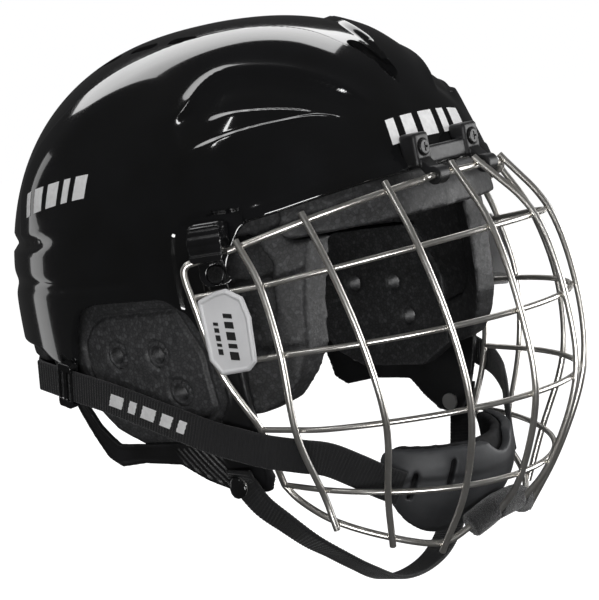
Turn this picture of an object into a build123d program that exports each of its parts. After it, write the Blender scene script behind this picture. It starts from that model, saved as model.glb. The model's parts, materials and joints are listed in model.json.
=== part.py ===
"""Youth ice hockey helmet with its wire face cage, chin cup and straps.

Millimetres. +Z is up as worn, the face looks along -Y, and the wearer's right is -X.
The origin is the middle of the head opening, level with the widest part of the shell.
The helmet is symmetric about X = 0, so every side piece is made once and mirrored.
"""
from build123d import *
import math
import os

# ---- driving dimensions: the dome every layer of the helmet follows ----
HALF_WIDTH = 100.0
HALF_LENGTH = 125.5
CROWN_HEIGHT = 130.0
FULLNESS = 2.37            # superellipse exponent: 2 is an ellipse, larger is boxier
SHELL_WALL = 3.0
LINER_GAP = 0.4
LINER_WALL = 15.0
LOOP_INSET = 4.0           # the ear loops lie against the inside of the shell
LOOP_WALL = 3.0
TUCK_INSET = 7.6           # temple and ear foam starts inside the ear loops
EAR_FOAM_WALL = 11.0
CRADLE_WALL = 3.0
EAR_HOLES = ((12.0, -12.0), (-14.0, -13.0), (-22.0, -31.0))   # (y, z) of the sound holes
EAR_HOLE_R = 5.0

# ---- cage ----
FRAME_WIRE = 3.0           # brow, side and chin wires and the uprights
CROSS_WIRE = 2.6           # the four cross wires between brow and chin
WELD_SINK = 0.3            # how far a welded upright sinks into the wire behind it
PIVOT_Y = -129.8           # the straight middle of the brow wire, which the cage turns about
PIVOT_Z = 44.3
PIVOT_HALF = 24.0          # half length of that straight stretch

# ---- fittings ----
RUNNING_GAP = 0.3
CLIP_X = 18.3              # centre of each forehead clip boss
WEBBING = 15.0
WEBBING_THICK = 1.6
CUP_WALL = 4.5
CUP_CENTRE = (0.0, -76.0, -82.0)
CUP_HALF = (44.0, 46.0, 38.0)
CUP_REAR_Y = -88.0         # the cup is open behind this
SNAP_X = 82.2              # the rivets that the chin strap hangs from
SNAP_Y = -44.0
SNAP_Z = -75.0
POST_R = 2.0


def dome_point(direction, inset):
    """Point of the superellipsoid, inset from the shell's outside, along a direction."""
    half_axes = (HALF_WIDTH - inset, HALF_LENGTH - inset, CROWN_HEIGHT - inset)
    total = sum(abs(c / e) ** FULLNESS for c, e in zip(direction, half_axes))
    return Vector(*[c * total ** (-1 / FULLNESS) for c in direction])


def dome_x(y, z, inset=0.0):
    """Half width of the dome at a height and a fore-aft place."""
    a, b, c = HALF_WIDTH - inset, HALF_LENGTH - inset, CROWN_HEIGHT - inset
    rest = 1 - abs(y / b) ** FULLNESS - abs(z / c) ** FULLNESS
    return a * max(rest, 0.0) ** (1 / FULLNESS)


def dome_layer(inset, wall, facing="top"):
    """A layer of the dome: its outside is inset from the shell's, and it is wall thick.

    It covers the dome round one pole: the crown and upper sides, the left side or the rear.
    """
    steps = 14
    reach = math.radians({"top": 112, "left": 80, "rear": 80}[facing])
    grid = []
    for i in range(steps + 1):
        row = []
        for j in range(steps + 1):
            s = 2 * i / steps - 1
            t = 2 * j / steps - 1
            from_pole = reach * math.hypot(s, t)
            around = math.atan2(t, s)
            u = math.sin(from_pole) * math.cos(around)
            v = math.sin(from_pole) * math.sin(around)
            w = math.cos(from_pole)
            direction = {"top": (u, v, w), "left": (w, u, v), "rear": (v, w, u)}[facing]
            row.append(dome_point(direction, inset))
        grid.append(row)
    face = Face.make_surface_from_array_of_points(grid, tol=0.01, min_deg=3, max_deg=5)
    pole = dome_point({"top": (0, 0, 1), "left": (1, 0, 0), "rear": (0, 1, 0)}[facing], inset)
    outward = face.normal_at(pole).dot(pole) > 0
    return Solid.thicken(face, -wall if outward else wall)


def side_profile(corners, radius, x_from, x_to):
    """A prism along X whose outline is drawn in the side view as (y, z) corners, rounded."""
    outline = FilletPolyline(*[(0, y, z) for y, z in corners], radius=radius, close=True)
    face = Face(Wire(outline.edges()))
    if face.normal_at().X < 0:
        face = -face
    return extrude(Pos(x_from, 0, 0) * face, amount=x_to - x_from, dir=(1, 0, 0))


def left_layer(inset, wall, corners, radius):
    """The part of the dome's left side layer inside a side outline."""
    return dome_layer(inset, wall, "left") & side_profile(corners, radius, 35.0, 130.0)


def mirrored(shape):
    return mirror(shape, about=Plane.YZ)


def rod(points, diameter):
    """A round wire along straight runs joined by tangent arcs."""
    points = [Vector(*p) for p in points]
    kept = [points[0]]
    for here, after in zip(points[1:-1], points[2:]):
        if (here - kept[-1]).get_angle(after - here) > 0.4:
            kept.append(here)
    kept.append(points[-1])
    radii = []
    for before, here, after in zip(kept, kept[1:], kept[2:]):
        turn = math.radians((here - before).get_angle(after - here))
        run = min((here - before).length, (after - here).length)
        radii.append(0.45 * run / math.tan(turn / 2))
    if not radii:
        path = Wire([Edge.make_line(kept[0], kept[-1])])
    else:
        path = Wire(FilletPolyline(*kept, radius=radii).edges())
    section = Plane(origin=path @ 0, z_dir=path % 0) * Circle(diameter / 2)
    return sweep(section, path=path)


def smooth(points, per_span):
    """Points of a smooth curve through the given ones (Catmull-Rom)."""
    pts = [Vector(*p) for p in points]
    ends = [pts[0] * 2 - pts[1]] + pts + [pts[-1] * 2 - pts[-2]]
    out = []
    for a, b, c, d in zip(ends, ends[1:], ends[2:], ends[3:]):
        for k in range(per_span):
            t = k / per_span
            out.append((b * 2 + (c - a) * t + (a * 2 - b * 5 + c * 4 - d) * t ** 2
                        + (b * 3 - a - c * 3 + d) * t ** 3) * 0.5)
    return out + [pts[-1]]


# ---- cage layout: each wire from side to side is an ellipse in its own tilted plane ----
class Bow:
    """A wire round the face: its foremost point, half width, depth, tilt, and side end."""

    def __init__(self, front_y, front_z, half_width, depth, tilt, end):
        self.front_y = front_y
        self.front_z = front_z
        self.half_width = half_width
        self.depth = depth
        self.tilt = tilt
        self.end = end

    def at(self, x):
        y = self.front_y + self.depth * (1 - math.sqrt(1 - (x / self.half_width) ** 2))
        return Vector(x, y, self.front_z + self.tilt * (y - self.front_y))


BROW = Bow(PIVOT_Y, PIVOT_Z, 97.0, 103.0, -0.243, (101.5, -50.0, 26.0))
CROSS = [
    Bow(-150.9, 19.0, 90.5, 102.0, -0.092, (99.4, -51.5, 12.0)),
    Bow(-158.9, -17.5, 91.0, 107.0, 0.0, (96.6, -55.0, -18.5)),
    Bow(-158.3, -54.0, 89.8, 125.0, 0.03, (84.5, -62.0, -50.0)),
    Bow(-139.0, -90.5, 72.6, 85.0, 0.155, (72.3, -57.7, -78.0)),
]
SIDE_WIRE = [(101.3, -50.6, 18.0), (100.6, -51.4, 12.0), (96.8, -55.0, -18.5), (91.0, -60.0, -37.0),
             (84.5, -62.0, -50.0), (79.0, -60.5, -64.0), (72.3, -57.7, -78.0)]
CHIN_WIRE = [(72.3, -57.7, -78.0), (70.0, -63.5, -86.0), (66.0, -78.5, -96.5), (52.0, -96.0, -107.5),
             (33.0, -107.5, -115.5), (20.0, -115.5, -111.0), (9.0, -120.5, -106.5), (0.0, -121.5, -105.8)]
# how far from the middle each upright crosses the brow wire, the cross wires and the chin wire
UPRIGHT_X = [
    (9.1, 16.1, 17.0, 15.4, 11.3, 9.0),
    (42.3, 48.5, 47.2, 42.9, 36.3, 33.0),
    (71.2, 73.6, 72.2, 66.6, 58.6, 52.0),
    (87.0, 86.2, 86.6, 82.9, 69.5, 66.0),
]


def bow_points(bow, widest_x, straight=0.0):
    """A bow's points from its left end, round the front, to its right end."""
    half = [Vector(*bow.end)]
    if straight:
        half.insert(0, Vector(*SIDE_WIRE[0]))
    steps = 9
    start = math.asin(widest_x / bow.half_width)
    for k in range(steps):
        x = bow.half_width * math.sin(start * (1 - k / steps))
        if x > straight:
            half.append(bow.at(x))
    if straight:
        half.append(Vector(straight, bow.front_y, bow.front_z))
        middle = []
    else:
        middle = [bow.at(0.0)]
    return half + middle + [Vector(-p.X, p.Y, p.Z) for p in reversed(half)]


def chin_point(x):
    """The chin wire's point at a distance from the middle."""
    curve = smooth(CHIN_WIRE, 12)
    for a, b in zip(curve, curve[1:]):
        if a.X >= x >= b.X:
            return a + (b - a) * ((a.X - x) / (a.X - b.X))
    raise ValueError("the chin wire does not reach that far")


def brow_point(x):
    p = BROW.at(x)
    return p if x > PIVOT_HALF else Vector(x, PIVOT_Y, PIVOT_Z)


def upright_points(spread):
    """An upright wire outside the wires it crosses, from brow to chin."""
    inner = [brow_point(spread[0])] + [bow.at(x) for bow, x in zip(CROSS, spread[1:5])]
    inner.append(chin_point(spread[5]))
    step = 0.5
    along = [brow_point(spread[0] + step) - brow_point(spread[0] - step)]
    along += [bow.at(x + step) - bow.at(x - step) for bow, x in zip(CROSS, spread[1:5])]
    along.append(chin_point(spread[5] + step) - chin_point(spread[5] - step))
    centres = []
    for k, point in enumerate(inner):
        down = inner[min(k + 1, 5)] - inner[max(k - 1, 0)]
        out = down.cross(along[k]).normalized()
        if out.dot(Vector(point.X, point.Y + 60.0, 0)) < 0:
            out = -out
        other = FRAME_WIRE if k in (0, 5) else CROSS_WIRE
        centres.append(point + out * ((FRAME_WIRE + other) / 2 - WELD_SINK))
    top = centres[0] + (centres[0] - centres[1]).normalized() * 3.0
    foot = centres[-1] + (centres[-1] - centres[-2]).normalized() * 2.5
    return [top] + smooth(centres, 3) + [foot]


def cage_wires():
    parts = {"brow_wire": rod(bow_points(BROW, 88.0, PIVOT_HALF), FRAME_WIRE)}
    for number, bow in enumerate(CROSS, 1):
        widest = 80.0 if number < 4 else 69.5
        widest = 86.0 if number < 3 else widest
        parts[f"cross_wire_{number}"] = rod(bow_points(bow, widest), CROSS_WIRE)
    side = rod(smooth(SIDE_WIRE, 3), FRAME_WIRE)
    parts["side_wire_left"] = side
    parts["side_wire_right"] = mirrored(side)
    half = smooth(CHIN_WIRE, 3)
    parts["chin_wire"] = rod(half[:-1] + [Vector(-p.X, p.Y, p.Z) for p in reversed(half)], FRAME_WIRE)
    for number, spread in enumerate(UPRIGHT_X):
        wire = rod(upright_points(spread), FRAME_WIRE)
        parts[f"upright_wire_{5 + number}"] = wire
        parts[f"upright_wire_{4 - number}"] = mirrored(wire)
    return parts


# ---- shell and linings ----
SHELL_RIM = [(-140.0, 50.5), (-112.0, 47.0), (-86.0, 41.5), (-71.0, 39.5), (-62.5, 22.0),
             (-62.0, -23.0), (-56.5, -24.5), (-43.0, 3.5), (-31.0, 12.0), (14.0, 13.0),
             (26.0, 9.5), (33.0, -3.0), (36.0, -17.0), (45.0, -16.0), (68.0, -6.0),
             (140.0, 0.0), (140.0, 150.0), (-140.0, 150.0)]
SCREW_HOLE_R = 2.1
SHANK_R = 2.0
FOREHEAD_SCREW_Z = 57.0
SIDE_CLIP_AT = (-60.0, 28.0)   # fore-aft place and height of each side clip
SIDE_SCREW_DROP = 8.0          # each side clip's screw is this far below the clip's middle


def shell():
    body = dome_layer(0.0, SHELL_WALL) & side_profile(SHELL_RIM, 2.5, -130.0, 130.0)
    front_vent = Pos(0, -96, 105) * Rot(-40, 0, 0) * SlotOverall(30, 9, rotation=90)
    body -= extrude(front_vent, amount=30, both=True)
    for side in (-1, 1):
        for y in (-16.0, 9.0, 34.0):
            slot = Pos(side * 40, y, 120) * SlotOverall(17, 6, rotation=90)
            body -= extrude(slot, amount=25, both=True)
    return body


def linings():
    """The foam inside the shell: brow, crown and rear blocks, and a temple block each side."""
    layer = dome_layer(SHELL_WALL + LINER_GAP, LINER_WALL)
    brow = [(-140, 29), (-84, 29), (-84, 74), (-140, 74)]
    crown = [(-140, 75), (140, 75), (140, 150), (-140, 150)]
    rear = [(64, -14), (140, -8), (140, 74), (48, 74), (48, 5), (64, 5)]
    temple = [(-83, 74), (-22, 74), (-22, 17), (-38, 17), (-50, 34), (-70, 34), (-77, 20),
              (-75.5, 4), (-73, -14), (-66, -20), (-51, -24), (-51, -44), (-60, -44), (-71, -40),
              (-79.5, -30), (-84.7, -19), (-87, 2.5), (-90.5, 28), (-83, 28.5)]
    temple_foam = left_layer(TUCK_INSET, LINER_WALL - 3.0, temple, 1.2)
    sides = [(-21, 17), (47, 17), (47, 74), (-21, 74)]
    side_foam = left_layer(SHELL_WALL + LINER_GAP, LINER_WALL, sides, 3.0)
    return {
        "brow_foam": layer & side_profile(brow, 3.0, -130, 130),
        "crown_foam": layer & side_profile(crown, 1.0, -130, 130),
        "rear_foam": layer & side_profile(rear, 3.0, -130, 130),
        "temple_foam_left": temple_foam,
        "temple_foam_right": mirrored(temple_foam),
        "side_foam_left": side_foam,
        "side_foam_right": mirrored(side_foam),
    }


def ear_pieces():
    """Ear foam with its three sound holes, and the plastic ear loop round and below it."""
    outline = [(-35, 16), (20, 16), (33, 10), (43, -2), (43.5, -20), (36, -36), (26, -47),
               (10, -55), (-30, -56), (-49.5, -45), (-49.5, -12)]
    foam = left_layer(TUCK_INSET, EAR_FOAM_WALL, outline, 4.0)
    for y, z in EAR_HOLES:
        foam -= Pos(80, y, z) * Rot(0, 90, 0) * Cylinder(EAR_HOLE_R, 60)
    ring = [(-61, -5), (-58, -50), (-54, -74), (-49, -81), (-34, -79.5), (-22, -73), (-11, -64.5), (12, -63.5),
            (30, -65.5), (38, -61), (50, -32), (60, -14), (60, -1), (48, -1), (45, -26), (35, -45),
            (26, -54), (-20, -54), (-40, -48), (-49, -36), (-50, -5)]
    loop = left_layer(LOOP_INSET, LOOP_WALL, ring, 2.5)
    loop -= Pos(SNAP_X, SNAP_Y, SNAP_Z) * Rot(0, 90, 0) * Cylinder(POST_R + 0.05, 20)
    return {
        "ear_foam_left": foam,
        "ear_foam_right": mirrored(foam),
        "ear_loop_left": loop,
        "ear_loop_right": mirrored(loop),
    }


def rear_cradle():
    """The plastic nape cradle, which hooks under the rear foam, and its foam pad.

    Its inner band lies inside the rear foam and its outer skirt continues the shell downward.
    """
    inner = SHELL_WALL + LINER_GAP + LINER_WALL + 0.5
    band = [(62, -42), (140, -42), (140, 20), (62, 20)]
    skirt = [(62, -15.5), (62, -31), (140, -24), (140, -9.5)]
    web = [(62, -27), (62, -31), (140, -24), (140, -20)]
    cradle = dome_layer(inner, CRADLE_WALL, "rear") & side_profile(band, 6.0, -130, 130)
    cradle += dome_layer(LOOP_INSET, CRADLE_WALL, "rear") & side_profile(skirt, 1.0, -130, 130)
    cradle += dome_layer(LOOP_INSET, inner + 1.0 - LOOP_INSET, "rear") & side_profile(web, 1.0, -130, 130)
    pad_layer = dome_layer(SHELL_WALL + LINER_GAP + LINER_WALL + 3.9, 6.0, "rear")
    pad = [(78, -36), (140, -36), (140, 12), (78, 12)]
    return {
        "nape_cradle": cradle,
        "nape_pad": pad_layer & side_profile(pad, 5.0, -130, 130),
    }


# ---- fittings that hold the cage ----
def forehead_clip():
    """Black clip screwed over the brow: two bosses whose rings hold the brow wire."""
    body = fillet((Pos(0, -120.9, 53.0) * Box(2 * CLIP_X, 5.0, 8.0)).edges().filter_by(Axis.X), 1.5)
    for side in (-1, 1):
        x = side * CLIP_X
        boss = Pos(x, -120.0, 56.0) * Box(11.0, 9.0, 15.0)
        body += fillet(boss.edges(), 1.8)
        body += Pos(x, PIVOT_Y, PIVOT_Z) * Rot(0, 90, 0) * Cylinder(4.0, 7.0)
        body += Pos(x, PIVOT_Y + 4.0, PIVOT_Z + 4.0) * Rot(45, 0, 0) * Box(7.0, 9.0, 4.0)
        body -= Pos(x, PIVOT_Y, PIVOT_Z) * Rot(0, 90, 0) * Cylinder(FRAME_WIRE / 2 + 0.08, 12.0)
    body -= dome_layer(-0.05, 14.0)
    for side in (-1, 1):
        body -= Pos(side * CLIP_X, -125.2, FOREHEAD_SCREW_Z) * Rot(90, 0, 0) * Cylinder(3.7, 3.0)
        body -= forehead_hole(side)
    return body


def forehead_hole(side):
    return Pos(side * CLIP_X, -118.0, FOREHEAD_SCREW_Z) * Rot(90, 0, 0) * Cylinder(SCREW_HOLE_R, 20.0)


def cross_screw(head_r, head_h, shank_r, shank_l):
    """A cross-slot screw standing on the origin, head up and shank down."""
    head = Pos(0, 0, head_h / 2) * Cylinder(head_r, head_h)
    head = fillet(head.edges().group_by(Axis.Z)[-1], head_h * 0.4)
    for turn in (0, 90):
        head -= Pos(0, 0, head_h) * Rot(0, 0, turn) * Box(head_r * 1.1, 0.9, head_h * 0.9)
    return head + Pos(0, 0, -shank_l / 2) * Cylinder(shank_r, shank_l)


def forehead_fasteners():
    screws = []
    for side in (-1, 1):
        place = Pos(side * CLIP_X, -123.75, FOREHEAD_SCREW_Z) * Rot(90, 0, 0)
        screws.append(place * cross_screw(3.4, 1.8, SHANK_R, 10.0))
    return {"forehead_screws": Compound(children=screws)}


def side_frame(y, z, lift):
    """A plane on the dome's left side: X rearward, Y up, Z outward, lift off the surface."""
    x = dome_x(y, z)
    power = FULLNESS - 1
    normal = Vector((x / HALF_WIDTH) ** power / HALF_WIDTH,
                    math.copysign(abs(y / HALF_LENGTH) ** power / HALF_LENGTH, y),
                    math.copysign(abs(z / CROWN_HEIGHT) ** power / CROWN_HEIGHT, z)).normalized()
    across = Vector(0, 0, 1).cross(normal).normalized()
    return Plane(origin=Vector(x, y, z) + normal * lift, x_dir=across, z_dir=normal)


def side_clip_pieces():
    """Each side's clip: a screwed plate, and above it a hook open below for the brow wire."""
    at = side_frame(*SIDE_CLIP_AT, 0.0)
    plate = fillet((Pos(0, -5.5, 0.8) * Box(15.0, 15.0, 2.4)).edges().filter_by(Axis.Z), 5.0)
    hook = fillet((Pos(0, 6.0, 4.0) * Box(16.0, 17.0, 9.6)).edges().filter_by(Axis.Z), 2.5)
    clip = at * (plate + hook)
    clip -= dome_layer(-0.3, 14.0, "left")
    wire_end = Vector(*BROW.end)
    along = (wire_end - BROW.at(88.0)).normalized()
    opening = Vector(0, -0.22, -0.97)
    across = along.cross(opening).normalized()
    slot = Plane(origin=wire_end - along * 12.0, x_dir=along, z_dir=across)
    downward = slot.y_dir.dot(opening) > 0
    wide = FRAME_WIRE + 2 * RUNNING_GAP
    reach = 30.0
    shift = (reach / 2 - wide / 2) * (1 if downward else -1)
    clip -= slot * (Pos(0, shift, 0) * Box(60.0, reach, wide))
    screw_at = at * Pos(0, -SIDE_SCREW_DROP, 0.4)
    clip -= at * (Pos(0, -SIDE_SCREW_DROP, 1.3) * Cylinder(4.2, 1.8))
    clip -= at * (Pos(0, -SIDE_SCREW_DROP, 0) * Cylinder(SCREW_HOLE_R, 20.0))
    screw = screw_at * cross_screw(4.0, 1.5, SHANK_R, 6.5)
    return {
        "side_clip_left": clip,
        "side_clip_right": mirrored(clip),
        "side_clip_screws": Compound(children=[screw, mirrored(screw)]),
    }


def label_plates():
    """The blank hexagonal cover over the ends of two cross wires."""
    at = side_frame(-64.0, -3.0, 8.1)
    points = [(11.0, 14.0), (2.0, 17.0), (-3.0, 17.5), (-10.0, 13.0), (-12.0, 4.0), (-11.0, -15.0),
              (-7.0, -18.5), (6.0, -19.0), (10.5, -12.0)]
    outline = FilletPolyline(*[(x, y, 0) for x, y in points], radius=1.5, close=True)
    face = Face(Wire(outline.edges()))
    if face.normal_at().Z < 0:
        face = -face
    plate = at * extrude(face, amount=1.6, dir=(0, 0, 1))
    return {"label_plate_left": plate, "label_plate_right": mirrored(plate)}


# ---- chin cup ----
def cup_ellipsoid(inset):
    rows = []
    for r, (half, centre) in enumerate(zip(CUP_HALF, CUP_CENTRE)):
        rows.append([half - inset if r == c else 0.0 for c in range(3)] + [centre])
    return Solid.make_sphere(1.0).transform_geometry(Matrix(rows))


def cup_layer(inset, wall):
    outer = cup_ellipsoid(inset)
    inner = cup_ellipsoid(inset + wall)
    keep = [(-140, -112), (-118, -130), (CUP_REAR_Y, -130), (CUP_REAR_Y, -71), (-112, -75), (-140, -82)]
    return (outer - inner) & side_profile(keep, 4.0, -80.0, 80.0)


def chin_sling():
    """The soft sleeve that wraps the middle of the chin wire and hangs the cup from it."""
    half = [p for p in smooth(CHIN_WIRE, 3) if p.X < 21.0]
    line = half[:-1] + [Vector(-p.X, p.Y, p.Z) for p in reversed(half)]
    past_ends = [line[0] * 2 - line[1]] + line[1:-1] + [line[-1] * 2 - line[-2]]
    upright = rod(upright_points(UPRIGHT_X[0]), FRAME_WIRE + 2 * RUNNING_GAP)
    return rod(line, 9.0) - rod(past_ends, FRAME_WIRE + 0.4) - upright - mirrored(upright)


# ---- straps ----
CUP_STRAP = [(99.6, 58.0, -16.7), (100.2, 34.0, -23.5), (100.2, 14.0, -29.1), (99.2, -2.0, -34.8),
             (97.5, -25.0, -43.5), (95.0, -42.5, -50.5), (91.5, -54.0, -54.8), (87.0, -64.0, -59.0),
             (77.0, -75.0, -64.0), (68.0, -82.0, -68.0), (58.5, -88.5, -75.5), (50.5, -94.0, -82.5),
             (43.5, -99.0, -88.0)]
CHIN_STRAP = [(-85.4, SNAP_Y, -68.0), (-82.4, SNAP_Y, SNAP_Z), (-80.5, -50.0, -85.0),
              (-76.5, -58.0, -94.0), (-70.0, -65.0, -104.0), (-60.0, -69.0, -113.0),
              (-44.0, -68.5, -124.0), (-20.0, -63.0, -136.5), (10.0, -55.0, -142.5),
              (36.0, -50.0, -140.0), (57.0, -47.0, -127.0), (71.0, -45.0, -107.0),
              (79.0, -44.0, -88.0), (82.4, SNAP_Y, SNAP_Z), (85.4, SNAP_Y, -68.0)]


def webbing(points, normal_at, per_span=3):
    """Flat webbing along a smooth line, its face turned to the given normals."""
    line = smooth(points, per_span)
    sections = []
    for k, here in enumerate(line):
        along = (line[min(k + 1, len(line) - 1)] - line[max(k - 1, 0)]).normalized()
        normal = normal_at(here)
        normal = (normal - along * normal.dot(along)).normalized()
        plane = Plane(origin=here, x_dir=along.cross(normal), z_dir=along)
        sections.append((plane * Rectangle(WEBBING, WEBBING_THICK)).face().outer_wire())
    return Solid.make_loft(sections, ruled=True)


def dome_normal(point):
    return Vector(point.X / HALF_WIDTH ** 2, point.Y / HALF_LENGTH ** 2, 0)


def chin_normal(point):
    """Outward across the chin strap: sideways at its ends and down in its middle."""
    return Vector(point.X, 0, 1.4 * (point.Z + 70.0) - 6.0)


def strap_pieces():
    cup_strap = webbing(CUP_STRAP, dome_normal)
    chin_strap = webbing(CHIN_STRAP, chin_normal)
    hole = Rot(0, 90, 0) * Cylinder(POST_R + RUNNING_GAP, 12.0)
    for side in (-1, 1):
        chin_strap -= Pos(side * SNAP_X, SNAP_Y, SNAP_Z) * hole
    rivet = Pos(SNAP_X - 10.4, 0, 0) * Rot(0, 90, 0) * Cylinder(4.2, 1.2)
    rivet += Pos(SNAP_X - 3.0, 0, 0) * Rot(0, 90, 0) * Cylinder(POST_R, 14.4)
    rivet += Pos(SNAP_X + 4.6, 0, 0) * Rot(0, 90, 0) * Cylinder(4.4, 1.4)
    rivet = Pos(0, SNAP_Y, SNAP_Z) * rivet
    return {
        "cup_strap_left": cup_strap,
        "cup_strap_right": mirrored(cup_strap),
        "chin_strap": chin_strap,
        "strap_rivets": Compound(children=[rivet, mirrored(rivet)]),
    }


def slider():
    """A ladder-bar plastic slider round the rear run of a cup strap."""
    a = Vector(*CUP_STRAP[1])
    b = Vector(*CUP_STRAP[0])
    middle = a + (b - a) * 0.2
    along = (b - a).normalized()
    normal = dome_normal(middle)
    normal = (normal - along * normal.dot(along)).normalized()
    at = Plane(origin=middle, x_dir=along, z_dir=normal)
    gap = WEBBING_THICK + 2 * RUNNING_GAP
    body = Box(9.0, WEBBING + 6.0, gap + 2.4)
    body = fillet(body.edges().filter_by(Axis.Z), 1.5)
    body -= Box(12.0, WEBBING + 1.2, gap)
    for x in (-2.2, 2.2):
        body -= Pos(x, 0, gap) * Box(2.0, WEBBING - 1.0, gap + 1.0)
    return at * body


def drilled_shell(body):
    """The shell with the holes for its clip screws."""
    for side in (-1, 1):
        body -= forehead_hole(side)
    hole = side_frame(*SIDE_CLIP_AT, 0.0) * (Pos(0, -SIDE_SCREW_DROP, 0) * Cylinder(SCREW_HOLE_R, 20.0))
    return body - hole - mirrored(hole)


def main():
    os.makedirs("parts", exist_ok=True)
    parts = {"shell": shell()}
    parts.update(linings())
    parts.update(ear_pieces())
    parts.update(rear_cradle())
    parts.update(cage_wires())
    parts["forehead_clip"] = forehead_clip()
    parts.update(forehead_fasteners())
    parts.update(side_clip_pieces())
    parts.update(label_plates())
    parts["chin_cup"] = cup_layer(0.0, CUP_WALL)
    parts["chin_pad"] = cup_layer(CUP_WALL + 0.3, 4.0)
    parts["chin_sling"] = chin_sling()
    parts.update(strap_pieces())
    parts["strap_slider_left"] = slider()
    parts["strap_slider_right"] = mirrored(parts["strap_slider_left"])
    parts["shell"] = drilled_shell(parts["shell"])
    for name, shape in parts.items():
        export_step(shape, f"parts/{name}.step")


main()
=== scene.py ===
"""Blender scene for the youth hockey helmet with its wire cage, chin cup and straps.

Shapes are worked out in millimetres in the CAD frame and scaled to metres when a mesh is made.
+Z is up as worn, the face looks along -Y, and the wearer's right is -X.
"""
import json
import math

import bpy
import numpy as np
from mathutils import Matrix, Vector
from mathutils.bvhtree import BVHTree


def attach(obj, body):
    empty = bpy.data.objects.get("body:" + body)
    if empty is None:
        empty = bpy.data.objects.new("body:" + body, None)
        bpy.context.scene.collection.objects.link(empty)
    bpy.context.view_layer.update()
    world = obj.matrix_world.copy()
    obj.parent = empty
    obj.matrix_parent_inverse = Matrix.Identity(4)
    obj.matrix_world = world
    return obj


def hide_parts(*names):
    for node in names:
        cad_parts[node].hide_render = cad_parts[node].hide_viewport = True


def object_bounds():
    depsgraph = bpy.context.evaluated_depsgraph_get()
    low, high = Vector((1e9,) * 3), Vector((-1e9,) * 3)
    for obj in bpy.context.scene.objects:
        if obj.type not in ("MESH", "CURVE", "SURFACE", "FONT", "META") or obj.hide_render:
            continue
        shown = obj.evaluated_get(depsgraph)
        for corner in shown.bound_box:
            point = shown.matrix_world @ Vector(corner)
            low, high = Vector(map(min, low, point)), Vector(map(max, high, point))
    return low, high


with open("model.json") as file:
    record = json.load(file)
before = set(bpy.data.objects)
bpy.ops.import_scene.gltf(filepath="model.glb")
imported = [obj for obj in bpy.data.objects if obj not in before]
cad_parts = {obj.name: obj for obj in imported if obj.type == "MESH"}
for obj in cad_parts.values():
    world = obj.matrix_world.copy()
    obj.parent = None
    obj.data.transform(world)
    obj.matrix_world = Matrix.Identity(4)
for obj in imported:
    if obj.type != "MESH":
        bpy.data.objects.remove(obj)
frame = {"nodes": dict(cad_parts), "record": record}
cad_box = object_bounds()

MM = 0.001
SIDES = ("left", "right")

# ---- the dome that the shell and its linings follow, in millimetres ----
HALF_AXES = np.array((100.0, 125.5, 130.0))
FULLNESS = 2.37
SHELL_WALL = 3.0
LIP = 1.5                  # radius of the rolled edge of the shell

# ---- camera and room, in metres ----
TARGET = Vector((0.0045, -0.0173, -0.0074))
DISTANCE = 0.8864
AZIMUTH = -48.0
ELEVATION = 5.84
ROLL = -10.58
LENS = 110.67
SENSOR = 36.0
FLOOR_DROP = 0.06          # the floor lies this far under the loose chin strap
# each softbox: the way to it from the helmet, how far off it is, its size and its watts
LIGHTS = [
    ("crown_softbox", (0.34, 0.44, 0.80), 1.6, (1.9, 0.9), 13),
    ("rear_strip", (-0.20, 0.95, 0.12), 1.5, (0.30, 1.0), 0.8),
    ("front_right_softbox", (0.80, -0.70, -0.02), 1.6, (1.3, 1.0), 20),
    ("front_left_low", (-0.85, -0.75, -0.22), 1.6, (1.0, 0.5), 24),
    ("left_rim", (-0.95, 0.10, 0.95), 1.7, (0.12, 0.5), 2.0),
]
LIGHT_AIM = (0, -0.03, 0)
# a light that only fills: its place, the point it looks at, its size and its watts
OVERHEAD_FILL = ((-0.5, -0.9, 1.1), (0, 0, 0), (0.8, 0.8), 9)
FLOOR_SIZE = 40            # in metres, far past what the camera sees


# ======================================================================
# room
# ======================================================================
def camera_axes():
    """The camera's right, up and backward directions."""
    a = math.radians(AZIMUTH)
    e = math.radians(ELEVATION)
    r = math.radians(ROLL)
    back = Vector((math.sin(a) * math.cos(e), -math.cos(a) * math.cos(e), math.sin(e)))
    level = (-back).cross(Vector((0, 0, 1))).normalized()
    over = level.cross(-back)
    right = level * math.cos(r) + over * math.sin(r)
    up = over * math.cos(r) - level * math.sin(r)
    return right, up, back


def make_camera():
    right, up, back = camera_axes()
    data = bpy.data.cameras.new("camera")
    data.lens = LENS
    data.sensor_width = SENSOR
    data.sensor_fit = "HORIZONTAL"
    camera = bpy.data.objects.new("camera", data)
    place = camera.matrix_world
    for k, axis in enumerate((right, up, back)):
        place.col[k].xyz = axis
    place.col[3].xyz = TARGET + back * DISTANCE
    camera.matrix_world = place
    bpy.context.scene.collection.objects.link(camera)
    bpy.context.scene.camera = camera


def area_light(name, place, aim, size, watts):
    data = bpy.data.lights.new(name, "AREA")
    data.shape = "RECTANGLE"
    data.size, data.size_y = size
    data.energy = watts
    light = bpy.data.objects.new(name, data)
    light.location = place
    light.rotation_mode = "QUATERNION"
    light.rotation_quaternion = (Vector(aim) - Vector(place)).to_track_quat("-Z", "Y")
    bpy.context.scene.collection.objects.link(light)
    return light


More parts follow.
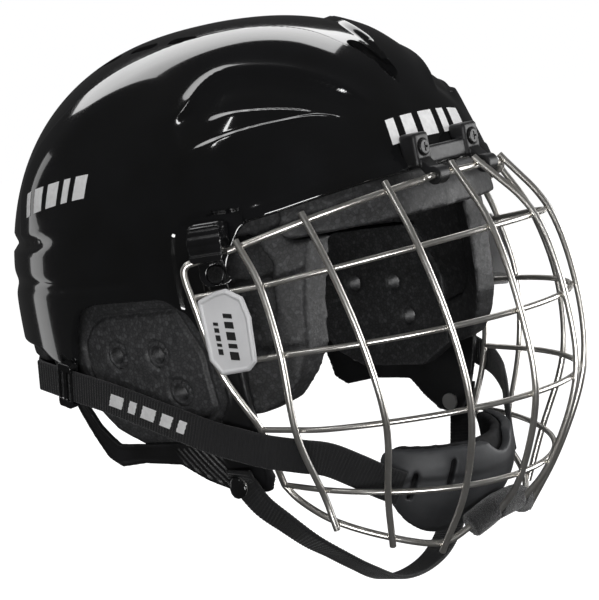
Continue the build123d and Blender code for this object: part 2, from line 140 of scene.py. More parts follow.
def make_room():
    """A white studio. The floor and backdrop look white, and the gloss mirrors dark walls."""
    world = bpy.data.worlds.new("studio")
    world.use_nodes = True
    tree = world.node_tree
    tree.nodes.clear()
    out = tree.nodes.new("ShaderNodeOutputWorld")
    path = tree.nodes.new("ShaderNodeLightPath")
    fill = background(tree, 0.10)
    for ray, shade in (("Is Glossy Ray", 0.035), ("Is Camera Ray", 1.0)):
        mix = tree.nodes.new("ShaderNodeMixShader")
        tree.links.new(path.outputs[ray], mix.inputs[0])
        tree.links.new(fill, mix.inputs[1])
        tree.links.new(background(tree, shade), mix.inputs[2])
        fill = mix.outputs[0]
    tree.links.new(fill, out.inputs["Surface"])
    bpy.context.scene.world = world

    low = cad_box[0].z - FLOOR_DROP
    bpy.ops.mesh.primitive_plane_add(size=FLOOR_SIZE, location=(0, 0, low))
    floor = bpy.context.active_object
    floor.name = "floor"
    pale = bpy.data.materials.new("pale_floor")
    pale.use_nodes = True
    shader = pale.node_tree.nodes["Principled BSDF"]
    shader.inputs["Base Color"].default_value = (0.3, 0.3, 0.3, 1)
    shader.inputs["Roughness"].default_value = 1.0
    shader.inputs["Emission Color"].default_value = (1, 1, 1, 1)
    shader.inputs["Emission Strength"].default_value = 1.0
    floor.data.materials.append(pale)
    floor.visible_glossy = False
    floor.visible_diffuse = False

    for name, toward, reach, size, watts in LIGHTS:
        place = Vector(toward).normalized() * reach
        area_light(name, place, LIGHT_AIM, size, watts)
    hidden = area_light("overhead_fill", *OVERHEAD_FILL)
    hidden.visible_glossy = False


def background(tree, shade):
    node = tree.nodes.new("ShaderNodeBackground")
    node.inputs["Color"].default_value = (shade, shade, shade * 1.01, 1)
    return node.outputs[0]


# ======================================================================
# mesh helpers
# ======================================================================
def add_piece(name, points_mm, faces, material, body, slot):
    """A new mesh piece from points in millimetres, riding on a CAD body."""
    mesh = bpy.data.meshes.new(name)
    mesh.from_pydata((np.asarray(points_mm) * MM).tolist(), [], [tuple(f) for f in faces])
    mesh.validate()
    mesh.update()
    piece = bpy.data.objects.new(name, mesh)
    bpy.context.scene.collection.objects.link(piece)
    finish_piece(piece, material, body, slot)
    mesh.polygons.foreach_set("use_smooth", [True] * len(mesh.polygons))
    return piece


def finish_piece(piece, material, body, slot):
    piece.data.materials.clear()
    piece.data.materials.append(material)
    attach(piece, body)


def body_of_node(node):
    for body, members in frame["record"]["behaviour"]["bodies"].items():
        if node in members:
            return body
    raise KeyError(node)


def read_points(mesh):
    """A mesh's vertices in millimetres."""
    points = np.empty(len(mesh.vertices) * 3)
    mesh.vertices.foreach_get("co", points)
    return points.reshape(-1, 3) / MM


def write_points(mesh, points):
    mesh.vertices.foreach_set("co", (points * MM).ravel())
    mesh.update()


def edge_pairs(mesh):
    pairs = np.empty(len(mesh.edges) * 2, dtype=np.int64)
    mesh.edges.foreach_get("vertices", pairs)
    return pairs.reshape(-1, 2)


def neighbour_mean(points, pairs):
    total = np.zeros_like(points)
    count = np.bincount(pairs.ravel(), minlength=len(points))
    for axis in range(3):
        total[:, axis] = np.bincount(pairs[:, 0], points[pairs[:, 1], axis], len(points))
        total[:, axis] += np.bincount(pairs[:, 1], points[pairs[:, 0], axis], len(points))
    return total / np.maximum(count, 1)[:, None]


def relaxed(points, pairs, passes):
    for _ in range(passes):
        points = points + 0.5 * (neighbour_mean(points, pairs) - points)
    return points


def vertex_normals(mesh):
    mesh.update()
    normals = np.empty(len(mesh.vertices) * 3)
    mesh.vertex_normals.foreach_get("vector", normals)
    return normals.reshape(-1, 3)


def subtract(piece, cutter):
    cut = piece.modifiers.new("cut", "BOOLEAN")
    cut.operation = "DIFFERENCE"
    cut.solver = "EXACT"
    cut.object = cutter


def apply_modifiers(piece, cutters):
    """Gives the piece the mesh that its modifiers make, and deletes the cutters."""
    graph = bpy.context.evaluated_depsgraph_get()
    mesh = bpy.data.meshes.new_from_object(piece.evaluated_get(graph))
    piece.modifiers.clear()
    piece.data = mesh
    for cutter in cutters:
        bpy.data.objects.remove(cutter)
    return mesh


# each moulded node's voxel size in millimetres, and how many passes relax its mesh
MOULDING = {
    "brow_foam": (1.4, 5), "crown_foam": (1.4, 5), "rear_foam": (1.4, 5), "temple_foam": (1.1, 6),
    "side_foam": (1.2, 6), "ear_foam": (0.7, 5), "nape_pad": (1.0, 6), "chin_pad": (0.9, 6),
    "ear_loop": (0.6, 3), "side_clip": (0.3, 3), "label_plate": (0.3, 3), "strap_slider": (0.3, 2),
    "nape_cradle": (0.9, 4), "forehead_clip": (0.35, 3), "chin_cup": (0.7, 5), "chin_sling": (0.35, 3),
}


def moulded(node, material, slot, shape=None, cutters=()):
    """A piece with the CAD node's place and size and soft moulded edges, then shaped further.

    The node's mesh, less the cutters, is rebuilt as an even fine mesh and relaxed, which rounds
    its corners. shape(points, normals) gives how far each point moves along its normal, in
    millimetres.
    """
    voxel, passes = MOULDING[node.removesuffix("_left").removesuffix("_right")]
    source = frame["nodes"][node]
    piece = bpy.data.objects.new(node + "_moulded", source.data.copy())
    bpy.context.scene.collection.objects.link(piece)
    for cutter in cutters:
        subtract(piece, cutter)
    remesh = piece.modifiers.new("remesh", "REMESH")
    remesh.mode = "VOXEL"
    remesh.voxel_size = voxel * MM
    remesh.use_smooth_shade = True
    mesh = apply_modifiers(piece, cutters)
    pairs = edge_pairs(mesh)
    write_points(mesh, relaxed(read_points(mesh), pairs, passes))
    if shape is not None:
        points = read_points(mesh)
        normals = vertex_normals(mesh)
        write_points(mesh, points + normals * shape(points, normals)[:, None])
    finish_piece(piece, material, body_of_node(node), slot)
    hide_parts(node)
    return piece


def repaint(node, material):
    """A CAD node whose shape is right keeps its mesh and gets a detailed material."""
    piece = frame["nodes"][node]
    if not piece.data.materials:
        piece.data.materials.append(material)
    for k in range(len(piece.data.materials)):
        piece.data.materials[k] = material


def strip(low, high, count):
    """Quads between two closed rings of count points each, from where each ring's points start."""
    return [(low + j, low + (j + 1) % count, high + (j + 1) % count, high + j) for j in range(count)]


def sheet_faces(rows, columns, start):
    """Quads of a grid of points that is stored row after row from a start."""
    corners = [start + i * columns + j for i in range(rows - 1) for j in range(columns - 1)]
    return [(a, a + columns, a + columns + 1, a + 1) for a in corners]


def join_part(points, faces, part):
    """Adds a part's own points and faces to those of a larger mesh."""
    part_points, part_faces = part
    faces += [tuple(len(points) + k for k in face) for face in part_faces]
    points += part_points


def squared_to(direction, axis):
    """The unit vector nearest to a direction that is square to an axis of unit length."""
    square = direction - axis * (direction @ axis)
    return square / np.linalg.norm(square)


def unit_tangents(line):
    tangents = np.gradient(line, axis=0)
    return tangents / np.linalg.norm(tangents, axis=1)[:, None]


def smoothstep(value, low, high):
    t = np.clip((value - low) / (high - low), 0.0, 1.0)
    return t * t * (3 - 2 * t)


def bell(value, width):
    return np.exp(-(value / width) ** 2)


def catmull_rom(points, per_span):
    """Points of a smooth curve through the given ones."""
    points = np.asarray(points, float)
    ends = np.vstack((2 * points[0] - points[1], points, 2 * points[-1] - points[-2]))
    out = []
    for a, b, c, d in zip(ends, ends[1:], ends[2:], ends[3:]):
        for t in np.arange(per_span) / per_span:
            out.append(0.5 * (2 * b + (c - a) * t + (2 * a - 5 * b + 4 * c - d) * t ** 2
                              + (3 * b - a - 3 * c + d) * t ** 3))
    out.append(points[-1])
    return np.array(out)


def even_steps(points, step):
    """The same line with its points a fixed step apart."""
    points = np.asarray(points, float)
    length = np.concatenate(([0], np.cumsum(np.linalg.norm(np.diff(points, axis=0), axis=1))))
    count = max(2, int(round(length[-1] / step)) + 1)
    places = np.linspace(0, length[-1], count)
    columns = [np.interp(places, length, points[:, k]) for k in range(points.shape[1])]
    return np.stack(columns, axis=1)


def rounded_outline(corners, radius, closed=True):
    """A polygon's points with each corner turned into a short curve."""
    corners = np.asarray(corners, float)
    count = len(corners)
    out = []
    for k in range(count):
        here = corners[k]
        if not closed and k in (0, count - 1):
            out.append(here)
            continue
        before = corners[k - 1] - here
        after = corners[(k + 1) % count] - here
        reach = min(radius * 1.2, 0.45 * np.linalg.norm(before), 0.45 * np.linalg.norm(after))
        start = here + before / np.linalg.norm(before) * reach
        end = here + after / np.linalg.norm(after) * reach
        for t in np.linspace(0, 1, 8):
            out.append((1 - t) ** 2 * start + 2 * t * (1 - t) * here + t ** 2 * end)
    return np.array(out)


def outline_distance(flat, outline):
    """Distance from points to a closed outline, both flat: positive inside it, negative outside."""
    best = np.full(len(flat), np.inf)
    inside = np.zeros(len(flat), bool)
    for a, b in zip(outline, np.roll(outline, -1, axis=0)):
        edge = b - a
        t = np.clip((flat - a) @ edge / max(edge @ edge, 1e-9), 0, 1)
        best = np.minimum(best, np.linalg.norm(flat - a - t[:, None] * edge, axis=1))
        crosses = (a[1] > flat[:, 1]) != (b[1] > flat[:, 1])
        slope = edge[0] * (flat[:, 1] - a[1]) / (edge[1] if edge[1] else 1e-9) + a[0]
        inside ^= crosses & (flat[:, 0] < slope)
    return np.where(inside, best, -best)


def line_distance(points, normals, line):
    """Signed distance to a line drawn on a surface, and how far along the line, 0 to 1."""
    best = np.full(len(points), np.inf)
    signed = np.zeros(len(points))
    along = np.zeros(len(points))
    length = np.concatenate(([0], np.cumsum(np.linalg.norm(np.diff(line, axis=0), axis=1))))
    for k, (a, b) in enumerate(zip(line, line[1:])):
        edge = b - a
        t = np.clip((points - a) @ edge / (edge @ edge), 0, 1)
        off = points - a - t[:, None] * edge
        far = np.linalg.norm(off, axis=1)
        side = np.einsum("ij,ij->i", np.cross(edge, normals), off)
        nearer = far < best
        best[nearer] = far[nearer]
        signed[nearer] = (np.sign(side) * far)[nearer]
        along[nearer] = ((length[k] + t * (length[k + 1] - length[k])) / length[-1])[nearer]
    return signed, along


# ======================================================================
# materials
# ======================================================================
class Paint:
    """A material's node tree with short calls for the nodes that every surface here uses."""

    def __init__(self, name, colour, roughness, metallic=0.0, **sockets):
        self.material = bpy.data.materials.new(name)
        self.material.use_nodes = True
        self.material.diffuse_color = (*colour, 1)
        self.tree = self.material.node_tree
        self.shader = self.tree.nodes["Principled BSDF"]
        self.shader.inputs["Base Color"].default_value = (*colour, 1)
        self.shader.inputs["Roughness"].default_value = roughness
        self.shader.inputs["Metallic"].default_value = metallic
        for socket, value in sockets.items():
            self.shader.inputs[socket.replace("_", " ")].default_value = value
        self.place = self.tree.nodes.new("ShaderNodeTexCoord")
        self.height = None

    def link(self, output, target):
        self.tree.links.new(output, target)

    def noise(self, scale, detail=3.0, coarse=0.5, stretch=None, source="Object"):
        node = self.tree.nodes.new("ShaderNodeTexNoise")
        node.inputs["Scale"].default_value = scale
        node.inputs["Detail"].default_value = detail
        node.inputs["Roughness"].default_value = coarse
        self.link(self.coordinates(stretch, source), node.inputs["Vector"])
        return node.outputs["Fac"]

    def cells(self, scale, feature="F1", randomness=1.0, output="Distance"):
        node = self.tree.nodes.new("ShaderNodeTexVoronoi")
        node.feature = feature
        node.inputs["Scale"].default_value = scale
        node.inputs["Randomness"].default_value = randomness
        self.link(self.place.outputs["Object"], node.inputs["Vector"])
        return node.outputs[output]

    def coordinates(self, stretch=None, source="Object"):
        if stretch is None:
            return self.place.outputs[source]
        node = self.tree.nodes.new("ShaderNodeMapping")
        node.inputs["Scale"].default_value = stretch
        self.link(self.place.outputs[source], node.inputs["Vector"])
        return node.outputs["Vector"]

    def ramp(self, value, stops):
        node = self.tree.nodes.new("ShaderNodeValToRGB")
        band = node.color_ramp
        while len(band.elements) < len(stops):
            band.elements.new(0.5)
        for element, (position, shade) in zip(band.elements, stops):
            element.position = position
            element.color = (*shade, 1) if hasattr(shade, "__len__") else (shade, shade, shade, 1)
        self.link(value, node.inputs["Fac"])
        return node.outputs["Color"]

    def colour(self, value, *stops):
        self.link(self.ramp(value, stops), self.shader.inputs["Base Color"])

    def rough(self, value, low, high):
        node = self.tree.nodes.new("ShaderNodeMapRange")
        node.inputs["To Min"].default_value = low
        node.inputs["To Max"].default_value = high
        self.link(value, node.inputs["Value"])
        self.link(node.outputs["Result"], self.shader.inputs["Roughness"])

    def bump(self, value, distance_mm, strength=1.0):
        """Adds relief on top of what is there already."""
        node = self.tree.nodes.new("ShaderNodeBump")
        node.inputs["Distance"].default_value = distance_mm * MM
        node.inputs["Strength"].default_value = strength
        self.link(value, node.inputs["Height"])
        if self.height is not None:
            self.link(self.height, node.inputs["Normal"])
        self.height = node.outputs["Normal"]
        self.link(self.height, self.shader.inputs["Normal"])


def gloss_shell():
    paint = Paint("gloss_black_shell", (0.006, 0.006, 0.007), 0.09, IOR=1.5, Coat_Weight=1.0,
                  Coat_Roughness=0.02)
    paint.colour(paint.noise(35, 4), (0.3, 0.005), (0.7, (0.0075, 0.0077, 0.0085)))
    paint.rough(paint.noise(420, 5, 0.7), 0.06, 0.16)
    paint.bump(paint.noise(160, 2), 0.006)
    return paint.material


BEAD_SCALE = 560           # texture cells to a metre, which makes beads of about 2 mm


def bead_foam(name, dark, light):
    """Moulded bead foam: fused dark beads with fine seams and a faintly glossy moulded skin."""
    paint = Paint(name, dark, 0.5, Specular_IOR_Level=0.5)
    between = tuple(0.7 * a + 0.3 * b for a, b in zip(dark, light))
    beads = paint.cells(BEAD_SCALE, output="Color")
    grey = paint.ramp(beads, [(0.0, dark), (0.6, between), (0.95, light)])
    seams = paint.ramp(paint.cells(BEAD_SCALE, "DISTANCE_TO_EDGE"), [(0.0, 0.55), (0.2, 1.0)])
    mix = paint.tree.nodes.new("ShaderNodeMix")
    mix.data_type = "RGBA"
    mix.blend_type = "MULTIPLY"
    mix.inputs["Factor"].default_value = 1.0
    paint.link(grey, mix.inputs["A"])
    paint.link(seams, mix.inputs["B"])
    paint.link(mix.outputs["Result"], paint.shader.inputs["Base Color"])
    paint.rough(paint.noise(500, 4, 0.7), 0.36, 0.7)
    paint.bump(paint.cells(BEAD_SCALE, "SMOOTH_F1"), 0.12, 0.7)
    paint.bump(paint.noise(1500, 4), 0.06, 0.7)
    return paint.material


def soft_pad_foam():
    paint = Paint("skin_pad_foam", (0.02, 0.02, 0.021), 0.85, Specular_IOR_Level=0.3)
    paint.colour(paint.noise(300, 4), (0.3, 0.014), (0.7, (0.03, 0.03, 0.032)))
    paint.bump(paint.noise(2600, 4), 0.08, 0.8)
    paint.bump(paint.noise(60, 2), 0.2, 0.5)
    return paint.material


def satin_plastic():
    """Injection moulded plastic with a fine spark-eroded grain."""
    paint = Paint("satin_black_plastic", (0.014, 0.014, 0.015), 0.42)
    paint.colour(paint.noise(60, 4), (0.3, 0.010), (0.7, (0.019, 0.019, 0.021)))
    paint.rough(paint.noise(700, 4), 0.34, 0.55)
    paint.bump(paint.noise(2400, 3), 0.03, 0.6)
    return paint.material


def gloss_plastic():
    paint = Paint("gloss_black_fittings", (0.008, 0.008, 0.009), 0.16, Coat_Weight=0.5,
                  Coat_Roughness=0.06)
    paint.colour(paint.noise(90, 4), (0.3, 0.006), (0.7, (0.011, 0.011, 0.012)))
    paint.rough(paint.noise(500, 4), 0.12, 0.26)
    paint.bump(paint.noise(500, 2), 0.01, 0.6)
    return paint.material


def cage_steel():
    """Electroplated wire: a warm satin nickel with faint drawing marks and dull patches."""
    paint = Paint("satin_nickel_wire", (0.80, 0.77, 0.72), 0.32, metallic=0.92)
    paint.colour(paint.noise(90, 5, 0.65), (0.25, (0.70, 0.67, 0.62)),
                 (0.6, (0.86, 0.84, 0.80)), (0.85, (0.92, 0.90, 0.88)))
    paint.rough(paint.noise(240, 5, 0.7), 0.24, 0.44)
    paint.bump(paint.noise(1500, 3), 0.015, 0.6)
    return paint.material


def weld_metal():
    paint = Paint("plated_weld", (0.5, 0.46, 0.4), 0.4, metallic=1.0)
    paint.colour(paint.noise(900, 5, 0.7), (0.3, (0.36, 0.32, 0.27)), (0.7, (0.62, 0.58, 0.5)))
    paint.bump(paint.noise(1400, 4), 0.06, 0.8)
    return paint.material


def polished_metal():
    paint = Paint("polished_rivet", (0.78, 0.77, 0.75), 0.3, metallic=0.75)
    paint.rough(paint.noise(900, 4), 0.25, 0.42)
    paint.bump(paint.noise(3000, 2), 0.005, 0.5)
    return paint.material


def black_screw_metal():
    paint = Paint("black_coated_screw", (0.03, 0.03, 0.032), 0.3, metallic=0.6)
    paint.colour(paint.noise(1200, 4), (0.35, 0.018), (0.75, (0.06, 0.06, 0.062)))
    paint.rough(paint.noise(1500, 4), 0.22, 0.45)
    return paint.material


def label_plastic():
    paint = Paint("pale_label_plastic", (0.74, 0.74, 0.75), 0.35)
    paint.colour(paint.noise(50, 4), (0.3, (0.68, 0.68, 0.69)), (0.7, (0.80, 0.80, 0.81)))
    paint.rough(paint.noise(900, 4), 0.28, 0.45)
    paint.bump(paint.noise(1600, 3), 0.02, 0.5)
    return paint.material


def cup_rubber():
    paint = Paint("charcoal_cup_rubber", (0.05, 0.052, 0.055), 0.5, Specular_IOR_Level=0.5)
    paint.colour(paint.noise(70, 5, 0.6), (0.3, (0.042, 0.043, 0.046)), (0.7, (0.07, 0.072, 0.076)))
    paint.rough(paint.noise(500, 4), 0.38, 0.6)
    paint.bump(paint.noise(2200, 4), 0.05, 0.7)
    return paint.material


def loop_fabric():
    """Brushed loop fabric: short tangled nap that catches light at its edges."""
    paint = Paint("brushed_loop_fabric", (0.012, 0.012, 0.013), 0.95, Sheen_Weight=0.6,
                  Sheen_Roughness=0.5, Specular_IOR_Level=0.1)
    paint.colour(paint.noise(1500, 6, 0.75), (0.3, 0.005), (0.7, (0.03, 0.03, 0.032)))
    paint.bump(paint.noise(2600, 6, 0.8), 0.5, 1.0)
    return paint.material


def webbing_fabric():
    """Woven webbing: the ribs are in the mesh, and this adds the yarns along and across."""
    paint = Paint("ribbed_black_webbing", (0.016, 0.016, 0.017), 0.75, Sheen_Weight=0.25,
                  Sheen_Roughness=0.4, Specular_IOR_Level=0.3)
    yarn = paint.noise(1.0, 3, 0.6, stretch=(2.5, 30, 1), source="UV")
    paint.colour(yarn, (0.3, 0.009), (0.65, (0.028, 0.028, 0.030)))
    wave = paint.tree.nodes.new("ShaderNodeTexWave")
    wave.wave_type = "BANDS"
    wave.bands_direction = "Y"
    wave.inputs["Scale"].default_value = 5.0
    wave.inputs["Distortion"].default_value = 0.6
    paint.link(paint.coordinates(source="UV"), wave.inputs["Vector"])
    paint.rough(yarn, 0.62, 0.88)
    paint.bump(wave.outputs["Fac"], 0.06, 0.6)
    paint.bump(paint.noise(3000, 4), 0.05, 0.7)
    return paint.material


def marking_ink(name, shade):
    paint = Paint(name, (shade, shade, shade), 0.4)
    paint.colour(paint.noise(400, 4), (0.3, shade * 0.9), (0.7, shade * 1.05))
    paint.rough(paint.noise(900, 3), 0.3, 0.5)
    return paint.material


# ======================================================================
# shell
# ======================================================================
# the shell's rim in the side view, as (y, z) from the brow round the ear to the nape
SHELL_RIM = [(-140.0, 50.5), (-112.0, 47.0), (-86.0, 41.5), (-71.0, 39.5), (-62.5, 22.0), (-62.0, -23.0),
             (-56.5, -24.5), (-43.0, 3.5), (-31.0, 12.0), (14.0, 13.0), (26.0, 9.5), (33.0, -3.0),
             (36.0, -17.0), (45.0, -16.0), (68.0, -6.0), (140.0, 0.0)]
VERTICAL_TO = 52.0         # the mesh's columns run straight up the shell to this height
EVEN_FROM = 88.0           # and are evenly spread round it from here to the crown
RIM_STEP = 1.25            # width of a column at the rim
FIRST_ROW = 0.022          # the rolled rim ends at this share of the way up to EVEN_FROM
OUTSIDE_ROWS = (70, 62)    # rows of points below and above EVEN_FROM
INSIDE_ROWS = (18, 14)
RING_STEPS = 2001          # points of the fine ring that even spacing is measured on


def dome_width(y, z, inset=0.0):
    a, b, c = HALF_AXES - inset
    rest = 1 - np.abs(y / b) ** FULLNESS - np.abs(z / c) ** FULLNESS
    return a * np.maximum(rest, 0.0) ** (1 / FULLNESS)


def on_dome(directions, inset=0.0):
    directions = np.asarray(directions, float)
    scale = (np.abs(directions / (HALF_AXES - inset)) ** FULLNESS).sum(axis=-1) ** (-1 / FULLNESS)
    return directions * scale[..., None]


def dome_normals(points):
    powers = np.sign(points) * np.abs(points / HALF_AXES) ** (FULLNESS - 1) / HALF_AXES
    return powers / np.linalg.norm(powers, axis=-1, keepdims=True)


def at_height(azimuth, z, inset=0.0):
    """The dome's point at a height, in a direction round it: azimuth 0 is -Y, and a quarter turn +X."""
    a, b, c = HALF_AXES - inset
    x = np.sin(azimuth)
    y = -np.cos(azimuth)
    room = np.maximum(1 - np.abs(z / c) ** FULLNESS, 0.0)
    scale = (room / (np.abs(x / a) ** FULLNESS + np.abs(y / b) ** FULLNESS)) ** (1 / FULLNESS)
    return np.stack((x * scale, y * scale, z + 0 * x), axis=-1)


def rim_points(step):
    """Points of the left half of the rim, from the middle of the brow to the middle of the nape."""
    flat = even_steps(rounded_outline(SHELL_RIM, 4.0, closed=False), 0.02)
    width = dome_width(flat[:, 0], flat[:, 1])
    on = np.nonzero(width > 0)[0]
    flat = flat[on[0] - 1:on[-1] + 2]
    points = np.column_stack((dome_width(flat[:, 0], flat[:, 1]), flat))
    return even_steps(points, step)


# lines that the shell's relief follows, on its left side, as (x, y, z)
CROWN_PANEL = [(84, 72, 40), (77, 69, 69), (72, 58, 86), (68, 40, 98), (62, 25, 108), (55, 8, 115),
               (48, -10, 119), (38, -32, 121), (24, -52, 120), (14, -68, 115), (9, -84, 108)]
SCOOP_CREST = [(78, -33, 84), (74, -43, 91), (65, -49, 100), (58, -56, 103), (50, -69, 101), (42, -83, 97),
               (31, -98, 87), (24, -106, 78)]
CREASE_HIGH = [(75, -50, 84), (72, -58, 86), (62, -74, 84), (52, -90, 82), (44, -98, 78)]
CREASE_LOW = [(86, -38, 70), (83, -47, 73), (72, -68, 77), (60, -84, 78), (47, -96, 78), (36, -104, 74)]
SIDE_GROOVE = [(60, 98, 24), (82, 80, 25), (92, 60, 24), (97, 30, 22), (99, -20, 20.8)]
NAPE_GROOVE = [(0, 124, 44), (40, 112, 44), (70, 92, 44), (85, 68, 43.5), (93, 44, 44), (95, 30, 45)]
CLIP_POCKET = [(-62.0, -60.0), (-44.0, -60.0), (-39.5, 31.0), (-40.5, 39.5), (-45.0, 44.0), (-55.0, 46.2),
               (-72.0, 46.0), (-78.0, 30.0)]
BROW_LINE = [(0, -121.5, 55), (30, -118, 54.5), (60, -104, 51.5), (76, -88, 48.5), (85, -74, 46)]


def shell_relief(points):
    """How far the shell stands out from the plain dome, in millimetres along its normal."""
    normals = dome_normals(points)
    left = points.copy()
    left[:, 0] = np.abs(left[:, 0])
    left_normals = normals.copy()
    left_normals[:, 0] = np.abs(left_normals[:, 0])

    def near(line):
        return line_distance(left, left_normals, on_dome(catmull_rom(line, 6)))

    far, t = near(CROWN_PANEL)
    fade = smoothstep(t, 0.0, 0.15) * bell(np.maximum(-far - 14, 0), 14)
    height = 2.0 * smoothstep(-far, -1.6, 1.6) * fade
    far, t = near(SCOOP_CREST)
    fade = smoothstep(t, 0.0, 0.18) * (1 - smoothstep(t, 0.85, 1.0))
    hollow = 2.8 * smoothstep(-far, -1.0, 2.2) * bell(np.maximum(-far - 3, 0), 12)
    height += fade * (1.2 * bell(far, 5.0) - hollow)
    far, t = near(CREASE_HIGH)
    fade = smoothstep(t, 0.0, 0.3) * (1 - smoothstep(t, 0.7, 1.0))
    height += fade * 1.3 * smoothstep(-far, -1.1, 1.1) * bell(np.maximum(-far, 0), 9)
    far, t = near(CREASE_LOW)
    fade = smoothstep(t, 0.0, 0.3) * (1 - smoothstep(t, 0.8, 1.0))
    height += fade * 1.8 * smoothstep(-far, -1.4, 1.4) * bell(np.maximum(-far, 0), 12)
    far, t = near(SIDE_GROOVE)
    height -= 1.5 * bell(far, 1.2 + 3.0 * (1 - t)) * (1 - smoothstep(t, 0.9, 1.0)) * (1 - 0.5 * t)
    far, t = near(NAPE_GROOVE)
    height -= 2.6 * np.maximum(1 - np.abs(far) / 4.5, 0) * (1 - smoothstep(t, 0.75, 1.0))
    far, t = near(BROW_LINE)
    on_brow = (np.abs(far) < 30) * (points[:, 2] < 60)
    height += 0.7 * smoothstep(far, -0.8, 0.8) * (1 - smoothstep(t, 0.9, 1.0)) * on_brow
    pocket = outline_distance(points[:, 1:], np.array(CLIP_POCKET))
    height -= 1.5 * smoothstep(pocket, -0.7, 0.9) * (points[:, 1] < 0)
    return height


def build_shell(material):
    """The shell as one closed mesh: outside, rolled rim and inside, with its vents cut through."""
    half = rim_points(RIM_STEP)
    rim = np.vstack((half, (half * (-1, 1, 1))[-2:0:-1]))
    azimuth = np.unwrap(np.arctan2(rim[:, 0], -rim[:, 1]))
    azimuth = np.maximum.accumulate(azimuth + np.arange(len(azimuth)) * 1e-6)
    whole_turn = np.linspace(0, 2 * math.pi, RING_STEPS)
    ring = at_height(whole_turn, EVEN_FROM)
    length = np.concatenate(([0], np.cumsum(np.linalg.norm(np.diff(ring, axis=0), axis=1))))
    wanted = np.arange(len(rim)) / len(rim) * length[-1]
    even_azimuth = np.interp(wanted, length, whole_turn)

    def rows(inset, lower_steps, upper_steps):
        """Rows of points from the rim to just under the crown."""
        out = []
        for s in np.linspace(FIRST_ROW, 1, lower_steps):
            z = rim[:, 2] + (EVEN_FROM - rim[:, 2]) * s
            turn = smoothstep(z, VERTICAL_TO, EVEN_FROM)
            out.append(at_height(azimuth * (1 - turn) + even_azimuth * turn, z, inset))
        crown = HALF_AXES[2] - inset
        top_angle = math.acos(EVEN_FROM / crown)
        for s in np.linspace(0, 1, upper_steps)[1:-1]:
            z = crown * math.cos(top_angle * (1 - s))
            out.append(at_height(even_azimuth, np.full(len(rim), z), inset))
        return out

    outside = rows(0.0, *OUTSIDE_ROWS)
    inside = rows(SHELL_WALL, *INSIDE_ROWS)
    base = np.vstack(outside + inside + [[(0, 0, HALF_AXES[2]), (0, 0, HALF_AXES[2] - SHELL_WALL)]])
    count = len(rim)
    normals = dome_normals(base)
    relief = shell_relief(np.vstack(outside))
    shaped = base.copy()
    shaped[:len(relief)] += normals[:len(relief)] * relief[:, None]
    crown_index = len(base) - 2

    # the rolled rim: a half circle between the first outside row and the first inside row
    first_out = shaped[:count]
    first_in = shaped[len(outside) * count:(len(outside) + 1) * count]
    tangent = np.roll(rim, -1, axis=0) - np.roll(rim, 1, axis=0)
    outward = np.cross(tangent, dome_normals(rim))
    outward /= np.linalg.norm(outward, axis=1)[:, None]
    edge_rows = []
    for turn in np.linspace(0, math.pi, 9)[1:-1]:
        middle = 0.5 * (first_out + first_in)
        across = 0.5 * (first_out - first_in)
        edge_rows.append(middle + across * math.cos(turn) + outward * LIP * math.sin(turn))
    points = np.vstack([shaped] + edge_rows)

    # where each row's points start, from the rim to the crown or, for the edge, from out to in
    outside_starts = [k * count for k in range(len(outside))]
    inside_starts = [(len(outside) + k) * count for k in range(len(inside))]
    edge_starts = [len(shaped) + k * count for k in range(len(edge_rows))]
    faces = []
    for low, high in zip(outside_starts, outside_starts[1:]):
        faces += strip(low, high, count)
    for low, high in zip(inside_starts, inside_starts[1:]):
        faces += [quad[::-1] for quad in strip(low, high, count)]
    chain = [outside_starts[0], *edge_starts, inside_starts[0]]
    for high, low in zip(chain, chain[1:]):
        faces += strip(low, high, count)
    last_out = outside_starts[-1]
    last_in = inside_starts[-1]
    for j in range(count):
        after = (j + 1) % count
        faces.append((last_out + j, last_out + after, crown_index))
        faces.append((last_in + after, last_in + j, crown_index + 1))
    piece = add_piece("helmet_shell", points, faces, material, body_of_node("shell"), "shell_gloss")
    cut_vents(piece)
    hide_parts("shell")


SLOT_TURNS = 48            # points round a slot's outline


def slot_prism(centre, normal, along, length, width, depth):
    """Points and faces of a stadium prism."""
    normal = Vector(normal).normalized()
    along = Vector(along)
    along = (along - normal * along.dot(normal)).normalized()
    across = normal.cross(along)
    run = length / 2 - width / 2
    ring = []
    for k in range(SLOT_TURNS):
        angle = 2 * math.pi * k / SLOT_TURNS
        end = run if math.cos(angle) >= 0 else -run
        ring.append(along * (end + math.cos(angle) * width / 2) + across * (math.sin(angle) * width / 2))
    points = [Vector(centre) + normal * level + p for level in (-depth, depth) for p in ring]
    faces = strip(0, SLOT_TURNS, SLOT_TURNS)
    faces += [tuple(range(SLOT_TURNS))[::-1], tuple(range(SLOT_TURNS, 2 * SLOT_TURNS))]
    return points, faces


def cutter_of(name, slots):
    """One hidden object that holds a stadium prism for each slot."""
    points = []
    faces = []
    for slot in slots:
        join_part(points, faces, slot_prism(*slot))
    mesh = bpy.data.meshes.new(name)
    mesh.from_pydata([p * MM for p in points], [], faces)
    cutter = bpy.data.objects.new(name, mesh)
    bpy.context.scene.collection.objects.link(cutter)
    return cutter


def cut_vents(piece):
    """Cuts the vent over the brow and the three on each side of the crown."""
    slots = [((0, -96, 105), (0, -0.64, 0.77), (0, -0.77, -0.64), 30, 9, 14)]
    for side in (-1, 1):
        for y in (-16, 9, 34):
            slots.append(((side * 40, y, 120), (0, 0, 1), (0, 1, 0), 17, 6, 14))
    cutter = cutter_of("vent_cutter", slots)
    subtract(piece, cutter)
    opened = apply_modifiers(piece, [cutter])
    opened.set_sharp_from_angle(angle=math.radians(50))


